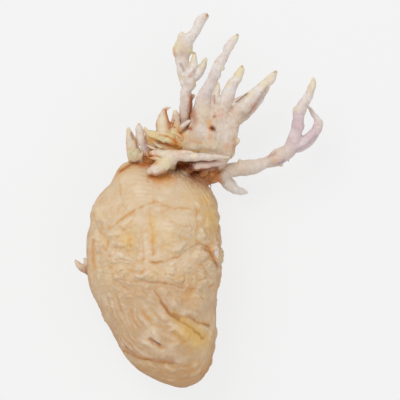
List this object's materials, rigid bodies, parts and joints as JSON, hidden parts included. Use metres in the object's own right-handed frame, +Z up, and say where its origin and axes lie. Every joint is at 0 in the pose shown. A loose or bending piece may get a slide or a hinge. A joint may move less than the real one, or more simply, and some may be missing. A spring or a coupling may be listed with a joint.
{
  "type": "shrivelled sprouting potato",
  "caption": "Shrivelled potato with a wrinkled, creased skin and long pale sprouts that fan out from one end, lying on its side.",
  "frame": {"origin": "middle of the flat spot under the tuber that it rests on", "axes": "+Y from the tapered end of the tuber to the end that the sprouts grow from, +Z up from the surface that it lies on, +X to the side that the long arm of the sprouts reaches"},
  "size_m": [0.1, 0.1499, 0.042],
  "materials": {
    "tuber_skin": "dull, wrinkled and slightly waxy",
    "sprout_flesh": "satin, slightly moist"
  },
  "bodies": {
    "root": {"tuber": "tuber_skin", "sprout_front": "sprout_flesh", "sprout_low": "sprout_flesh", "sprout_long": "sprout_flesh", "sprout_tall": "sprout_flesh", "sprout_horns": "sprout_flesh", "sprout_hook": "sprout_flesh", "sprout_fan": "sprout_flesh", "side_sprout": "sprout_flesh", "side_bud": "sprout_flesh"}
  },
  "joints": []
}
